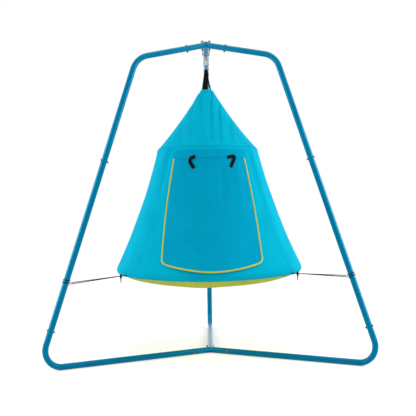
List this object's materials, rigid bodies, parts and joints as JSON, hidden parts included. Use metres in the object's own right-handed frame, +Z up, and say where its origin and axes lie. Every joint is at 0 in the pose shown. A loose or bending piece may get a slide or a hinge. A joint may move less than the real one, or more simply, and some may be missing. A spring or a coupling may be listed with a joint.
{
  "type": "hanging den on stand",
  "caption": "Hanging fabric den with a round padded rim, slung by a swivel hook from a three-legged tubular steel stand and steadied by cords to its legs.",
  "frame": {"origin": "on the ground, straight below the hook, on the stand's axis", "axes": "+Z up, +X to the right as one faces the door, +Y away from the door towards the back leg"},
  "size_m": [2.0078, 1.7793, 2.087],
  "materials": {
    "stand_paint": "satin powder coat, teal blue",
    "zinc": "yellow zinc plate",
    "hardware_steel": "plain bright steel",
    "skin_fabric": "cyan polycotton canvas",
    "door_fabric": "cyan polycotton canvas, a shade deeper",
    "trim_fabric": "yellow-green binding tape",
    "floor_fabric": "yellow-green canvas",
    "webbing": "black polyester webbing",
    "cord": "black braided cord",
    "toggle": "black moulded plastic",
    "foam": "grey foam sleeve",
    "mat_fabric": "quilted green canvas",
    "hoop_tube": "grey powder coat",
    "rod": "glass fibre rod"
  },
  "bodies": {
    "stand": {"top_hub": "stand_paint", "base_hub": "stand_paint", "upper_tube_left": "stand_paint", "upper_tube_right": "stand_paint", "upper_tube_back": "stand_paint", "leg_tube_left": "stand_paint", "leg_tube_right": "stand_paint", "leg_tube_back": "stand_paint", "lower_tube_left": "stand_paint", "lower_tube_right": "stand_paint", "lower_tube_back": "stand_paint", "joint_bolts": "zinc", "joint_nuts": "zinc", "joint_washers": "zinc", "u_bolt": "hardware_steel", "u_bolt_nuts": "zinc", "u_bolt_plate": "hardware_steel", "leg_winding_left": "cord", "leg_winding_right": "cord", "leg_winding_back": "cord", "leg_rings": "zinc", "tether_cord_left": "cord", "tether_cord_right": "cord", "tether_cord_back": "cord"},
    "eye": {"swivel_eye": "hardware_steel"},
    "den": {"hook_body": "hardware_steel", "hook_gate_pin": "hardware_steel", "strap_head": "webbing", "suspension_strap_left": "webbing", "suspension_strap_right": "webbing", "suspension_strap_back": "webbing", "roof_front": "skin_fabric", "roof_right": "skin_fabric", "roof_back": "skin_fabric", "roof_left": "skin_fabric", "wall_front": "skin_fabric", "wall_right": "skin_fabric", "wall_back": "skin_fabric", "wall_left": "skin_fabric", "rim_sleeve": "skin_fabric", "shoulder_hoop": "rod", "shoulder_hoop_ferrule": "hardware_steel", "base_hoop_1": "hoop_tube", "base_hoop_2": "hoop_tube", "base_hoop_3": "hoop_tube", "rim_pad_1": "foam", "rim_pad_2": "foam", "rim_pad_3": "foam", "floor_panel": "floor_fabric", "floor_mat": "mat_fabric", "door_header": "skin_fabric", "hem_tabs": "webbing", "tether_toggles": "toggle", "tether_tails": "cord"},
    "gate": {"hook_gate": "hardware_steel"},
    "door": {"door_flap": "door_fabric", "door_binding": "trim_fabric", "door_tie_left": "webbing", "door_tie_right": "webbing"}
  },
  "joints": [
    {"name": "den_swing", "type": "hinge", "parent": "stand", "child": "eye", "pos_m": [0, 0, 1.979], "axis": [1, 0, 0], "range_deg": [-3, 3], "deforming": ["tether_cord_left", "tether_cord_right", "tether_cord_back"]},
    {"name": "den_turn", "type": "hinge", "parent": "eye", "child": "den", "pos_m": [0, 0, 1.9415], "axis": [0, 0, 1], "range_deg": [-6, 6]},
    {"name": "gate_open", "type": "hinge", "parent": "den", "child": "gate", "pos_m": [0.015, 0, 1.9189], "axis": [0, 1, 0], "range_deg": [0, 20], "stiffness_Nm_per_rad": 0.3, "springref_deg": -8.59},
    {"name": "door_lift", "type": "hinge", "parent": "den", "child": "door", "pos_m": [0.0138, -0.35935, 1.277], "axis": [-0.9993, -0.0384, 0], "range_deg": [0, 95]}
  ]
}
